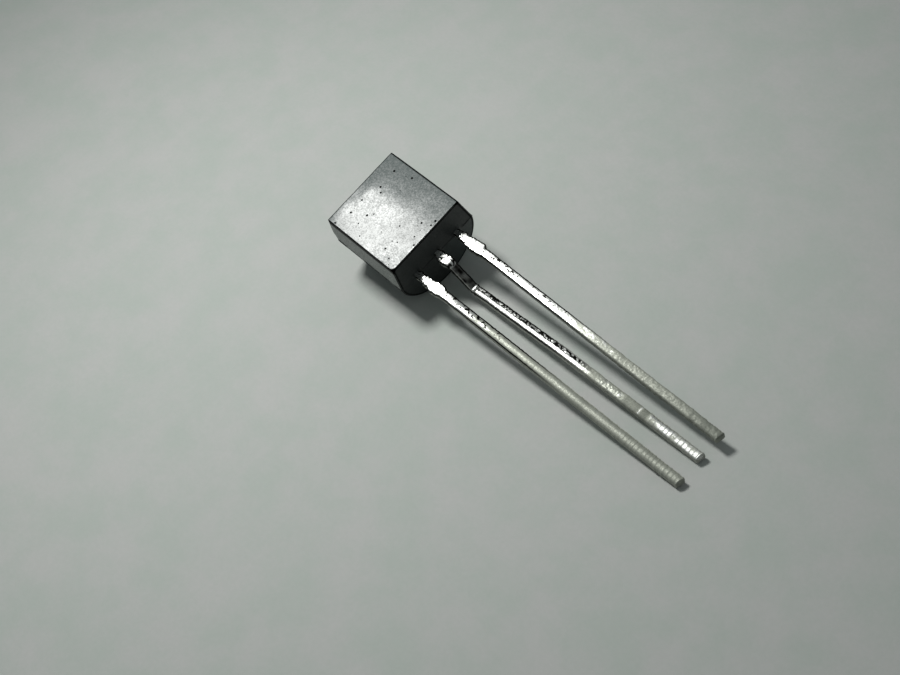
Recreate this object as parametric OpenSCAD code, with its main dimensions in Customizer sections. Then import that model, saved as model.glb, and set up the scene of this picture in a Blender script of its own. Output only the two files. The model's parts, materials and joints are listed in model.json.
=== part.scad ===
// Three-lead plastic transistor, lying on its rounded back with the flat face up.
// It is drawn square to its flat face first, then tipped onto the surface it rests on:
// the lead end of the back and the tips of the collector and base leads all touch Z = 0.

/* [Case] */
// Length of the flat face, along the leads
face_length = 4.34; // [4:0.02:6]
// Width of the flat face
face_width = 4.2; // [4:0.05:4.5]
// Radius of the rounded back
back_radius = 2.3; // [2.3:0.05:3]
// Depth from the flat face to the middle of the leads
lead_depth = 1.52; // [1.3:0.02:2]
// Draft of the end walls, in degrees
end_draft = 4.4; // [1:0.2:8]
// Bevel round the flat face
edge_break = 0.06; // [0.02:0.01:0.15]
// Thickness of the flash on the parting line
flash_thickness = 0.05; // [0.02:0.01:0.12]
// How far the flash stands out of the walls
flash_reach = 0.03; // [0.01:0.01:0.1]

/* [Leads] */
// Reach of the two outer lead tips beyond the flat face
lead_reach = 15.17; // [11:0.1:20]
// How much shorter the middle lead is
base_tip_short = 0.13; // [0:0.01:0.5]
// Distance between the leads where they leave the case
lead_pitch = 1.27; // [1.1:0.01:1.4]
// Width of a lead
lead_width = 0.42; // [0.34:0.01:0.5]
// Thickness of a lead
lead_thickness = 0.4; // [0.3:0.01:0.46]
// Width of the shoulder left by the cut tie bar
shoulder_width = 0.56; // [0.52:0.01:0.7]
// Start of the shoulder beyond the flat face
shoulder_start = 0.85; // [0.5:0.05:1.2]
// Length of the shoulder
shoulder_length = 0.9; // [0.5:0.05:1.4]

/* [Bends] */
// Start of the base lead's dip beyond the flat face
dip_start = 0.95; // [0.6:0.05:1.2]
// Length over which the base lead drops
dip_run = 1.04; // [0.9:0.02:1.6]
// Deepest drop of the base lead, towards the back
dip_depth = 1.35; // [0.6:0.05:1.4]
// Length over which the base lead comes back up
dip_recovery = 5.65; // [4:0.05:7]
// Drop of the base lead where it straightens again
dip_left_over = 0.41; // [0.2:0.01:0.6]
// Drop of the base lead's tip
base_tip_drop = 0.28; // [0.2:0.01:0.6]
// Rise of the collector lead's tip
collector_tip_rise = 0.04; // [0:0.01:0.15]
// Drop of the emitter lead's tip
emitter_tip_drop = 0.06; // [0:0.01:0.15]
// Sideways spread of the collector lead's tip
collector_tip_spread = 0.02; // [0:0.01:0.2]
// Sideways closing of the emitter lead's tip
emitter_tip_closing = 0.21; // [0:0.01:0.3]

/* [Inside] */
// Epoxy between the die paddle and the far end of the case
paddle_end_wall = 0.76; // [0.3:0.02:1.6]
// Epoxy between the die paddle and the side of the case
paddle_side_wall = 0.35; // [0.2:0.05:0.8]
// Side of the square silicon die
die_side = 0.5; // [0.3:0.05:0.8]
// Thickness of the silicon die
die_thickness = 0.2; // [0.12:0.01:0.3]
// Thickness of the layer that fixes the die
attach_thickness = 0.03; // [0.02:0.01:0.06]
// Diameter of a bond wire
wire_diameter = 0.05; // [0.03:0.005:0.08]
// Height of a bond wire's loop over its ends
wire_loop = 0.35; // [0.2:0.05:0.5]

/* [Hidden] */

round_steps = 96;         // sides of a true circle when drawn as a mesh
bend_steps = 4;           // flats along a bend in a lead
bend_setback = 0.3;       // how far from its corner a bend begins
wire_sides = 8;           // sides of a bond wire
wire_steps = 12;          // rings along a bond wire, less one
end_margin = 1;           // extra on tools that cut right through

// The flat face lies in the XY plane, +X runs along the leads, +Y points to the emitter lead.
end_slope = tan(end_draft);
end_swell = lead_depth * end_slope;      // how far each end stands out at the parting line
case_depth = lead_depth + back_radius;
case_span = face_length + 2 * end_swell;
half_lead = lead_thickness / 2;
lead_top = half_lead - lead_depth;

// Lead frame inside the case: a paddle for the collector, two posts for the wires.
frame_gap = 0.2;                         // least gap between two of its pieces
root_inset = 0.35;                       // how far the straight leads run in before they widen
post_length = 0.65;
post_width = 0.65;
paddle_near = -(root_inset + post_length + frame_gap);
paddle_side = -0.05;                     // the paddle's edge nearest the emitter
emitter_root = paddle_near - 0.3;        // start of the emitter post, beside the paddle
emitter_post_side = lead_pitch + lead_width / 2 - post_width - 0.2;
attach_overlap = 0.02;                   // how far the fixing layer shows round the die

paddle_far = paddle_end_wall - face_length - end_swell;
paddle_outer = paddle_side_wall - back_radius;
die_centre = [
  (paddle_near + paddle_far) / 2 + 0.2,
  (paddle_side + paddle_outer) / 2 + 0.1
];
attach_top = lead_top + attach_thickness;
die_top = attach_top + die_thickness;
base_pad = die_centre + [die_side, die_side] / 4;
emitter_pad = die_centre + [-die_side, die_side] / 4;
base_landing = [-root_inset - post_length / 2, 0];
emitter_landing = [emitter_root, (emitter_post_side + lead_pitch) / 2];

// Centre lines of the leads: seen from the side as [x, z], and from above as [x, y].
lead_line_start = -face_length;
fan_start = shoulder_start + shoulder_length;
base_reach = lead_reach - base_tip_short;
function side_line(tip_rise) = [
  [lead_line_start, -lead_depth],
  [fan_start, -lead_depth],
  [lead_reach, tip_rise - lead_depth]
];
function top_line(root, from_y, to_y) = [
  [root, from_y],
  [fan_start, from_y],
  [lead_reach, to_y]
];
collector_side = side_line(collector_tip_rise);
emitter_side = side_line(-emitter_tip_drop);
base_side = softened([
  [lead_line_start, -lead_depth],
  [dip_start, -lead_depth],
  [dip_start + dip_run, -lead_depth - dip_depth],
  [dip_start + dip_run + dip_recovery, -lead_depth - dip_left_over],
  [base_reach, -lead_depth - base_tip_drop]
], bend_setback);
collector_tip_y = -lead_pitch - collector_tip_spread;
emitter_tip_y = lead_pitch - emitter_tip_closing;

// Resting pose. Turned by [roll, slope, 0], three points come level: the lowest point of the
// back's rim at the lead end, and the lower outer corners of the collector and base tips.
function low_corner(line, tip_y) = let (
  last = len(line) - 1,
  corner = line[last] - half_lead * across(line, last)
) [corner[0], tip_y - lead_width / 2, corner[1]];
collector_foot = low_corner(collector_side, collector_tip_y);
base_foot = low_corner(base_side, 0);
function foot_roll(fall, roll) = atan2(
  base_foot[2] - collector_foot[2] - fall * (base_foot[0] - collector_foot[0]) / cos(roll),
  collector_foot[1] - base_foot[1]
);
function turned_over(angle) = angle > 90 ? angle - 180 : angle < -90 ? angle + 180 : angle;
function rim_drop(fall, roll) =
  fall * end_swell + cos(roll) * lead_depth
  + back_radius * sqrt(1 - 2 * end_slope * fall * cos(roll) + pow(end_slope * fall, 2));
function foot_fall(fall, roll) = (
  rim_drop(fall, roll) + sin(roll) * base_foot[1] + cos(roll) * base_foot[2]
) / base_foot[0];
function settled(fall, roll, rounds) = rounds == 0
  ? [roll, atan(fall)]
  : let (next_roll = turned_over(foot_roll(fall, roll)))
    settled(foot_fall(fall, next_roll), next_roll, rounds - 1);
settling_rounds = 12;
pose = settled(0, 0, settling_rounds);
roll = pose[0];
slope = pose[1];
rest_height = cos(slope) * rim_drop(tan(slope), roll);

// Middle of the overall size, which becomes the origin. Along X it lies between the far end,
// at the back's rim or at the flash, and the furthest lead tip. Along Y it lies between the
// edge of the flat face or of the flash on one side, and the back or the flash on the other.
flash_side = back_radius + flash_reach;
far_rim_x = -cos(slope) * (face_length + end_swell) - sin(slope) * cos(roll) * lead_depth
  - back_radius * norm([
      cos(slope) * end_slope - sin(slope) * cos(roll),
      sin(slope) * sin(roll)
    ]);
far_flash_x = -cos(slope) * (face_length + end_swell + flash_reach)
  - sin(slope) * (sin(roll) * flash_side + cos(roll) * (lead_depth + flash_thickness / 2));
function tip_x(reach, tip_y, tip_z) = cos(slope) * reach + sin(slope) * (
  sin(roll) * (tip_y + lead_width / 2) + cos(roll) * (tip_z + half_lead - lead_depth)
);
tips_x = max(
  tip_x(lead_reach, collector_tip_y, collector_tip_rise),
  tip_x(base_reach, 0, -base_tip_drop),
  tip_x(lead_reach, emitter_tip_y, -emitter_tip_drop)
);
near_side_y = min(
  -cos(roll) * face_width / 2,
  sin(roll) * lead_depth - cos(roll) * flash_side
);
far_side_y = max(back_radius, cos(roll) * flash_side) + sin(roll) * lead_depth;
middle_x = (min(far_rim_x, far_flash_x) + tips_x) / 2;
middle_y = (near_side_y + far_side_y) / 2;

// ---- helpers ----

// Unit direction to the left of the line at one of its points, long enough for a mitred bend
function heading(from, to) = (to - from) / norm(to - from);
function leftward(v) = [-v[1], v[0]];
function across(line, i) = let (
  last = len(line) - 1,
  into = leftward(heading(line[max(i, 1) - 1], line[max(i, 1)])),
  out = leftward(heading(line[min(i, last - 1)], line[min(i, last - 1) + 1]))
) (into + out) / (1 + into * out);

// Outline of a band of even width along a line
function band(line, half_width) = concat(
  [for (i = [0 : len(line) - 1]) line[i] - half_width * across(line, i)],
  [for (i = [len(line) - 1 : -1 : 0]) line[i] + half_width * across(line, i)]
);

// The line with its inner points eased into curves that start a setback away
function eased_bend(before, point, after, setback) = let (
  from = point + setback * heading(point, before),
  to = point + setback * heading(point, after)
) [for (k = [0 : bend_steps]) let (t = k / bend_steps)
  (1 - t) * (1 - t) * from + 2 * t * (1 - t) * point + t * t * to];
function softened(line, setback) = [for (i = [0 : len(line) - 1]) each
  i == 0 || i == len(line) - 1
    ? [line[i]]
    : eased_bend(line[i - 1], line[i], line[i + 1], setback)];

// A flat outline [x, z] made as wide as the case, across the leads
module side_plate(outline) {
  rotate([90, 0, 0])
    linear_extrude(height = 2 * back_radius, center = true)
      polygon(outline);
}

// An outline [x, y] made deep enough for every bend of the leads
module top_plate() {
  translate([0, 0, -case_depth - end_margin])
    linear_extrude(height = case_depth + 2 * end_margin)
      children();
}

module flat_box(from, to) {
  translate(from) square(to - from);
}

// The shape pressed from sheet: an outline from above kept to a band seen from the side
module pressed(side) {
  intersection() {
    top_plate() children();
    side_plate(band(side, half_lead));
  }
}

module shoulder(y) {
  flat_box(
    [shoulder_start, y - shoulder_width / 2],
    [shoulder_start + shoulder_length, y + shoulder_width / 2]
  );
}

// Tips it from its drawing position onto the surface, with the origin under its middle
module seated() {
  translate([-middle_x, -middle_y, rest_height])
    rotate([roll, slope, 0])
      children();
}

// ---- case ----

// Both halves seen from the end: straight walls in front of the parting line, round behind it
module cross_section_bar() {
  wall_lean = (back_radius - face_width / 2) / lead_depth;
  translate([-case_span, 0, 0]) {
    rotate([90, 0, 90])
      linear_extrude(height = 2 * case_span)
        polygon([
          [-face_width / 2 + edge_break, 0],
          [face_width / 2 - edge_break, 0],
          [face_width / 2 + edge_break * wall_lean, -edge_break],
          [back_radius, -lead_depth],
          [-back_radius, -lead_depth],
          [-face_width / 2 - edge_break * wall_lean, -edge_break]
        ]);
    intersection() {
      translate([0, 0, -lead_depth])
        rotate([0, 90, 0])
          cylinder(h = 2 * case_span, r = back_radius, $fn = round_steps);
      translate([0, -2 * back_radius, -case_depth - end_margin])
        cube([2 * case_span, 4 * back_radius, back_radius + end_margin]);
    }
  }
}

// Both halves seen from the side: each end leans out to the parting line
module long_section_plate() {
  bevel_swell = edge_break * end_slope;
  back_swell = end_swell - (back_radius + end_margin) * end_slope;
  side_plate_wide([
    [-edge_break, 0],
    [bevel_swell, -edge_break],
    [end_swell, -lead_depth],
    [back_swell, -case_depth - end_margin],
    [-face_length - back_swell, -case_depth - end_margin],
    [-face_length - end_swell, -lead_depth],
    [-face_length - bevel_swell, -edge_break],
    [-face_length + edge_break, 0]
  ]);
}

module side_plate_wide(outline) {
  rotate([90, 0, 0])
    linear_extrude(height = 4 * back_radius, center = true)
      polygon(outline);
}

module parting_flash() {
  translate([
    -face_length - end_swell - flash_reach,
    -back_radius - flash_reach,
    -lead_depth - flash_thickness / 2
  ])
    cube([
      case_span + 2 * flash_reach,
      2 * (back_radius + flash_reach),
      flash_thickness
    ]);
}

module epoxy_case() {
  color("#26282b")
    seated()
      difference() {
        union() {
          intersection() {
            cross_section_bar();
            long_section_plate();
          }
          parting_flash();
        }
        collector_shape();
        base_shape();
        emitter_shape();
        die_shape();
        attach_shape();
        base_wire_shape();
        emitter_wire_shape();
      }
}

// ---- leads ----

module collector_shape() {
  pressed(collector_side) {
    polygon(band(top_line(paddle_near, -lead_pitch, collector_tip_y), lead_width / 2));
    flat_box([paddle_far, paddle_outer], [paddle_near, paddle_side]);
    shoulder(-lead_pitch);
  }
}

module base_shape() {
  pressed(base_side) {
    polygon(band([[-root_inset, 0], [base_reach + end_margin, 0]], lead_width / 2));
    flat_box(
      [-root_inset - post_length, -post_width / 2],
      [-root_inset, post_width / 2]
    );
    shoulder(0);
  }
}

module emitter_shape() {
  pressed(emitter_side) {
    polygon(band(top_line(emitter_root, lead_pitch, emitter_tip_y), lead_width / 2));
    flat_box(
      [emitter_root - post_length, emitter_post_side],
      [emitter_root + post_length / 2, lead_pitch + lead_width / 2]
    );
    shoulder(lead_pitch);
  }
}

module collector_lead() {
  color("#d9d9d4") seated() collector_shape();
}

module base_lead() {
  color("#d4d4cf") seated() base_shape();
}

module emitter_lead() {
  color("#dededa") seated() emitter_shape();
}

// ---- die and its wires ----

module die_shape() {
  translate([die_centre[0] - die_side / 2, die_centre[1] - die_side / 2, attach_top])
    cube([die_side, die_side, die_thickness]);
}

module attach_shape() {
  side = die_side + 2 * attach_overlap;
  translate([die_centre[0] - side / 2, die_centre[1] - side / 2, lead_top])
    cube([side, side, attach_thickness]);
}

module silicon_die() {
  color("#5b6470") seated() die_shape();
}

module die_attach() {
  color("#b9b4a6") seated() attach_shape();
}

// A round wire from a pad on the die to a landing on a post. It leaves and lands upright,
// so each end sits flat, and its middle rises in an arch.
module wire_shape(pad, landing) {
  run = landing - pad;
  ahead = run / norm(run);
  aside = leftward(ahead);
  rise_start = die_top;
  rise_end = lead_top;
  function travel(t) = norm(run) * (1 - cos(180 * t)) / 2;
  function height(t) = rise_start + (rise_end - rise_start) * t + wire_loop * sin(180 * t);
  function lean(t) = atan2(
    rise_end - rise_start + wire_loop * PI * cos(180 * t),
    norm(run) * PI / 2 * sin(180 * t)
  );
  rings = [for (k = [0 : wire_steps]) let (t = k / wire_steps, tilt = lean(t))
    [for (s = [0 : wire_sides - 1]) let (
      a = 360 * s / wire_sides,
      sideways = wire_diameter / 2 * cos(a),
      outward = wire_diameter / 2 * sin(a),
      spot = pad + ahead * (travel(t) - outward * sin(tilt)) + aside * sideways
    ) [spot[0], spot[1], height(t) + outward * cos(tilt)]]];
  last = wire_steps * wire_sides;
  polyhedron(
    points = [for (ring = rings) each ring],
    faces = concat(
      [[for (s = [wire_sides - 1 : -1 : 0]) s]],
      [for (k = [0 : wire_steps - 1], s = [0 : wire_sides - 1]) let (
        a = k * wire_sides + s,
        b = k * wire_sides + (s + 1) % wire_sides
      ) each [[a, b, b + wire_sides], [a, b + wire_sides, a + wire_sides]]],
      [[for (s = [0 : wire_sides - 1]) last + s]]
    )
  );
}

module base_wire_shape() {
  wire_shape(base_pad, base_landing);
}

module emitter_wire_shape() {
  wire_shape(emitter_pad, emitter_landing);
}

module base_wire() {
  color("#d8b25a") seated() base_wire_shape();
}

module emitter_wire() {
  color("#d8b25a") seated() emitter_wire_shape();
}

epoxy_case();
collector_lead();
base_lead();
emitter_lead();
silicon_die();
die_attach();
base_wire();
emitter_wire();
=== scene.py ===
"""Looks of a three-lead plastic transistor that lies on its rounded back, flat face up.

The shapes are worked out in the face frame, in millimetres: the flat face lies in the plane
z = 0, x runs out along the leads from the face's lead end, and y points to the emitter lead.
"""

import itertools
import json
import math

import bpy
import numpy as np
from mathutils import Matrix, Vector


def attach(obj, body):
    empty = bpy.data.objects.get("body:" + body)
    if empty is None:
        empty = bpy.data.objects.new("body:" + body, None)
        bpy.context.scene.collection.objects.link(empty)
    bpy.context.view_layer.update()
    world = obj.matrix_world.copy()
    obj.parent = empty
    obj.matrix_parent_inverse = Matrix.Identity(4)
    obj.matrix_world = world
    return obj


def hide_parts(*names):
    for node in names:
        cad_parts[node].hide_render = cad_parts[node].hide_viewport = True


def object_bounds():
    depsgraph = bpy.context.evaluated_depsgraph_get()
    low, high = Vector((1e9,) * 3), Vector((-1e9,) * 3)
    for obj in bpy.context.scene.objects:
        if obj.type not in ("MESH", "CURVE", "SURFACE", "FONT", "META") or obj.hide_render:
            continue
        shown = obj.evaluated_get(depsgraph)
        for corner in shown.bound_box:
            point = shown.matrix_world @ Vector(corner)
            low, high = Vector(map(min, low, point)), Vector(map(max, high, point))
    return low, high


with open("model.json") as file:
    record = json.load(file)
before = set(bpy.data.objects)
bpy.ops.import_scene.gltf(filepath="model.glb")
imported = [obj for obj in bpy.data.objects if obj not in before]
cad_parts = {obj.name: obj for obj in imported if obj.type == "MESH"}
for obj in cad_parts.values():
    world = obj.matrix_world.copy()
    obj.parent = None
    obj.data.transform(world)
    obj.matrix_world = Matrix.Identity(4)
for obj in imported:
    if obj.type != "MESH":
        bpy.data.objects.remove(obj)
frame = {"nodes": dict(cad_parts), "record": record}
cad_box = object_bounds()

MM = 0.001

# ---- sizes, in millimetres, the same as the part's own ----

FACE_LENGTH = 4.34
FACE_WIDTH = 4.2
BACK_RADIUS = 2.3
LEAD_DEPTH = 1.52
END_SLOPE = math.tan(math.radians(4.4))
END_SWELL = LEAD_DEPTH * END_SLOPE
WALL_LEAN = (BACK_RADIUS - FACE_WIDTH / 2) / LEAD_DEPTH
FACE_EDGE = 0.045
END_EDGE = 0.04
FLASH_THICKNESS = 0.05
FLASH_REACH = 0.03
SINK_DEPTH = 0.06

LEAD_PITCH = 1.27
LEAD_WIDTH = 0.42
LEAD_THICKNESS = 0.4
CORNER_RADIUS = 0.06
SHOULDER_START = 0.85
SHOULDER_LENGTH = 0.9
FAN_START = SHOULDER_START + SHOULDER_LENGTH
DIP_START, DIP_RUN, DIP_DEPTH = 0.95, 1.04, 1.35
DIP_RECOVERY, DIP_LEFT_OVER = 5.65, 0.41
BEND_SETBACK = 0.3
LIP_PLACE, LIP_WIDTH = 2.03, 0.065  # the ridge of tin left at the base lead's lower bend
STATION_STEP = 0.024

# painted shade lines: dark lines on the walls under the face's long edges, and along the leads' top
# corners, where they fade out over a length
WALL_LINE, WALL_LINE_FADE = 0.32, 0.07
NEAR_SHADE_LINE, FAR_SHADE_LINE = 0.02, 0.065
SHADE_LINE_FROM, SHADE_LINE_FADE = 6.5, 3.0

# ---- the face frame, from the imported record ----

mounts = {m["name"]: m for m in frame["record"]["mounts"]}


def mount_place(name):
    return np.array(mounts[name]["pos_m"], float) / MM


face_out = np.array(mounts["flat_face"]["axis"], float)
face_out /= np.linalg.norm(face_out)
lead_way = np.array(mounts["base_pin"]["axis"], float)
lead_way -= face_out * (lead_way @ face_out)
lead_way /= np.linalg.norm(lead_way)
FACE_AXES = np.stack([lead_way, np.cross(face_out, lead_way), face_out])
FACE_START = mount_place("flat_face") + lead_way * FACE_LENGTH / 2


def in_face_frame(place):
    """A point of the row frame measured along the three face axes from the face's lead end."""
    return FACE_AXES @ (place - FACE_START)


def in_row_frame(points):
    """Points of the face frame, in metres: start plus each coordinate along its own axis."""
    return (FACE_START + points @ FACE_AXES) * MM


collector_tip = in_face_frame(mount_place("collector_pin"))
base_tip = in_face_frame(mount_place("base_pin"))
emitter_tip = in_face_frame(mount_place("emitter_pin"))

# ---- helpers for the shapes ----


def eased(t):
    """Rises smoothly from 0 to 1 as t does: three t squared less two t cubed."""
    t = np.clip(t, 0.0, 1.0)
    return t * t * (3.0 - 2.0 * t)


def unevenness(points, size, seed):
    """Smooth random relief from -1 to 1: a random value at each corner of a lattice of the
    given size, blended across each cell by the eased distance along every axis."""
    spot = np.asarray(points, float) / size + 13.7 * seed
    cell = np.floor(spot).astype(np.int64)
    share = eased(spot - cell)
    relief = np.zeros(spot.shape[:-1])
    for corner in itertools.product((0, 1), repeat=3):
        key = (cell + np.array(corner)).astype(np.uint64)
        mix = key[..., 0] * np.uint64(0x9E3779B97F4A7C15)
        mix ^= key[..., 1] * np.uint64(0xC2B2AE3D27D4EB4F)
        mix ^= key[..., 2] * np.uint64(0x165667B19E3779F9)
        mix ^= np.uint64(seed * 7919 + 17)
        mix ^= mix >> np.uint64(29)
        mix *= np.uint64(0xBF58476D1CE4E5B9)
        mix ^= mix >> np.uint64(32)
        value = (mix & np.uint64(0xFFFFF)).astype(float) / 0xFFFFF * 2.0 - 1.0
        weight = np.prod(np.where(corner, share, 1.0 - share), axis=-1)
        relief += weight * value
    return relief


def skin(name, rings, material, looped=False, marks=None):
    """A closed surface through rings of points, an array of rings x points x 3 in the face
    frame. Each ring closes on itself. The rings join up in a loop, or both ends are closed
    by a fan to the middle of the last ring. Faces are turned outwards by the signed volume."""
    count, around = rings.shape[:2]
    row = np.arange(count if looped else count - 1)[:, None]
    col = np.arange(around)[None, :]
    beside = (col + 1) % around
    ahead = (row + 1) % count
    quads = np.stack(
        [row * around + col, row * around + beside, ahead * around + beside, ahead * around + col],
        axis=-1,
    ).reshape(-1, 4)
    points = rings.reshape(-1, 3)
    fans = np.zeros((0, 3), int)
    if not looped:
        first, last = len(points), len(points) + 1
        points = np.concatenate([points, rings[:1].mean(1), rings[-1:].mean(1)])
        spin = np.arange(around)
        after = (spin + 1) % around
        end = (count - 1) * around
        fans = np.concatenate([
            np.stack([np.full(around, first), after, spin], -1),
            np.stack([np.full(around, last), end + spin, end + after], -1),
        ])
    triangles = np.concatenate([quads[:, [0, 1, 2]], quads[:, [0, 2, 3]], fans])
    p, q, r = (points[triangles[:, k]] for k in range(3))
    if np.einsum("ij,ij->i", p, np.cross(q, r)).sum() < 0:
        quads, fans = quads[:, ::-1], fans[:, ::-1]
    mesh = bpy.data.meshes.new(name)
    mesh.from_pydata(in_row_frame(points).tolist(), [], quads.tolist() + fans.tolist())
    mesh.polygons.foreach_set("use_smooth", np.ones(len(mesh.polygons), bool))
    for mark, values in (marks or {}).items():
        spread = np.concatenate([values.reshape(-1), values[[0, -1]].mean(1)])
        layer = mesh.attributes.new(mark, "FLOAT", "POINT")
        layer.data.foreach_set("value", spread[: len(points)].astype(np.float32))
    mesh.update()
    piece = bpy.data.objects.new(name, mesh)
    bpy.context.scene.collection.objects.link(piece)
    mesh.materials.append(material)
    return piece


# ---- helpers for the finishes ----


class Finish:
    """A material's node tree, with short calls that add a node and join its sockets."""

    def __init__(self, tree):
        self.tree = tree

    def add(self, kind, inputs=None, **settings):
        node = self.tree.nodes.new(kind)
        for key, value in settings.items():
            setattr(node, key, value)
        for key, value in (inputs or {}).items():
            socket = node.inputs[key]
            if isinstance(value, bpy.types.NodeSocket):
                self.tree.links.new(value, socket)
            else:
                socket.default_value = value
        return node

    def math(self, operation, a, b=0.0, c=0.0, clamp=False):
        node = self.add("ShaderNodeMath", {0: a, 1: b, 2: c}, operation=operation)
        node.use_clamp = clamp
        return node.outputs[0]

    def span(self, value, low, high, to_low=0.0, to_high=1.0):
        node = self.add(
            "ShaderNodeMapRange",
            {"Value": value, "From Min": low, "From Max": high, "To Min": to_low, "To Max": to_high},
            interpolation_type="SMOOTHSTEP",
        )
        return node.outputs["Result"]

    def blend(self, share, a, b):
        node = self.add("ShaderNodeMix", data_type="RGBA")
        for socket, value in ((node.inputs[0], share), (node.inputs[6], a), (node.inputs[7], b)):
            if isinstance(value, bpy.types.NodeSocket):
                self.tree.links.new(value, socket)
            else:
                socket.default_value = value
        return node.outputs[2]

    def noise(self, place, scale, detail=3.0, roughness=0.55):
        node = self.add(
            "ShaderNodeTexNoise",
            {"Vector": place, "Scale": scale, "Detail": detail, "Roughness": roughness},
        )
        return node.outputs["Fac"]


def effect(name, inputs, outputs):
    """An empty shader group with named inputs and outputs; returns its finish and its ends."""
    group = bpy.data.node_groups.new(name, "ShaderNodeTree")
    for label, kind, value in inputs:
        socket = group.interface.new_socket(name=label, in_out="INPUT", socket_type=kind)
        if value is not None:
            socket.default_value = value
    for label, kind in outputs:
        group.interface.new_socket(name=label, in_out="OUTPUT", socket_type=kind)
    finish = Finish(group)
    start = group.nodes.new("NodeGroupInput")
    end = group.nodes.new("NodeGroupOutput")
    return group, finish, start.outputs, end.inputs


def build_moulded_grain():
    """Fine grain of a moulded or set surface. Its height adds two sizes of noise. Its specks
    are the middles of scattered cells, each cell with its own size of speck, many with none.
    Its mottle is the fine noise again, stretched to the full range, and its cloud a wide one."""
    group, f, start, end = effect(
        "moulded_grain",
        [
            ("Place", "NodeSocketVector", None),
            ("Grains per mm", "NodeSocketFloat", 30.0),
            ("Specks per mm", "NodeSocketFloat", 2.5),
            ("Speck size", "NodeSocketFloat", 0.12),
        ],
        [("Height", "NodeSocketFloat"), ("Specks", "NodeSocketFloat"),
         ("Mottle", "NodeSocketFloat"), ("Cloud", "NodeSocketFloat")],
    )
    place = f.add("ShaderNodeMapping", {"Vector": start["Place"], "Scale": (1000,) * 3}).outputs[0]
    fine = f.noise(place, start["Grains per mm"], 2.0, 0.6)
    coarse = f.noise(place, f.math("MULTIPLY", start["Grains per mm"], 0.3), 3.0)
    cells = f.add("ShaderNodeTexVoronoi", {"Vector": place, "Scale": start["Specks per mm"]})
    share = f.add("ShaderNodeSeparateColor", {"Color": cells.outputs["Color"]}).outputs[0]
    size = f.math("MULTIPLY", f.span(share, 0.45, 1.0, 0.0, 1.0), start["Speck size"])
    ragged = f.math("MULTIPLY_ADD", f.math("SUBTRACT", fine, 0.5), 0.12, cells.outputs["Distance"])
    inside = f.math("SUBTRACT", size, ragged)
    specks = f.span(inside, 0.0, 0.06)
    mottle = f.span(f.math("MULTIPLY_ADD", coarse, 0.3, f.math("MULTIPLY", fine, 0.7)), 0.34, 0.66)
    height = f.math("MULTIPLY_ADD", coarse, 1.6, fine)
    height = f.math("MULTIPLY_ADD", specks, -1.5, height)
    cloud = f.noise(place, 0.9, 4.0, 0.62)
    f.tree.links.new(height, end["Height"])
    f.tree.links.new(specks, end["Specks"])
    f.tree.links.new(mottle, end["Mottle"])
    f.tree.links.new(cloud, end["Cloud"])
    return group


def build_dulling():
    """Dull patches on bright metal: noise drawn out along the lead, pushed up by an even
    amount so that patches join up as it grows, with fine scratches in the same direction."""
    group, f, start, end = effect(
        "dulling",
        [
            ("Place", "NodeSocketVector", None),
            ("Amount", "NodeSocketFloat", 0.0),
            ("Patches per mm", "NodeSocketFloat", 2.0),
            ("Draw out", "NodeSocketFloat", 0.35),
        ],
        [("Dull", "NodeSocketFloat"), ("Streaks", "NodeSocketFloat"), ("Height", "NodeSocketFloat")],
    )
    place = f.add("ShaderNodeMapping", {"Vector": start["Place"], "Scale": (1000,) * 3}).outputs[0]
    squeeze = f.add("ShaderNodeCombineXYZ", {0: start["Draw out"], 1: 1.0, 2: 1.0}).outputs[0]
    drawn = f.add("ShaderNodeVectorMath", {0: place, 1: squeeze}, operation="MULTIPLY").outputs[0]
    patches = f.noise(drawn, start["Patches per mm"], 4.0, 0.6)
    dull = f.span(f.math("ADD", patches, start["Amount"]), 0.62, 0.9)
    streaks = f.noise(drawn, f.math("MULTIPLY", start["Patches per mm"], 9.0), 2.0, 0.5)
    lumps = f.noise(place, f.math("MULTIPLY", start["Patches per mm"], 3.0), 3.0, 0.6)
    height = f.math("ADD", lumps, f.math("MULTIPLY", streaks, 0.35))
    f.tree.links.new(dull, end["Dull"])
    f.tree.links.new(streaks, end["Streaks"])
    f.tree.links.new(height, end["Height"])
    return group


moulded_grain = build_moulded_grain()
dulling = build_dulling()


def new_finish(name):
    """A material with a Principled shader joined to its output."""
    material = bpy.data.materials.new(name)
    material.use_nodes = True
    material.node_tree.nodes.clear()
    f = Finish(material.node_tree)
    shader = f.add("ShaderNodeBsdfPrincipled")
    out = f.add("ShaderNodeOutputMaterial")
    f.tree.links.new(shader.outputs[0], out.inputs["Surface"])
    place = f.add("ShaderNodeTexCoord").outputs["Object"]
    return material, f, shader, place


def use(f, group, inputs):
    node = f.add("ShaderNodeGroup", node_tree=group)
    for key, value in inputs.items():
        if isinstance(value, bpy.types.NodeSocket):
            f.tree.links.new(value, node.inputs[key])
        else:
            node.inputs[key].default_value = value
    return node.outputs


def mark(f, name):
    return f.add("ShaderNodeAttribute", attribute_name=name).outputs["Fac"]


def bump(f, height, depth_mm, strength=1.0):
    node = f.add("ShaderNodeBump", {"Height": height, "Distance": depth_mm * MM, "Strength": strength})
    return node.outputs["Normal"]


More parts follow.
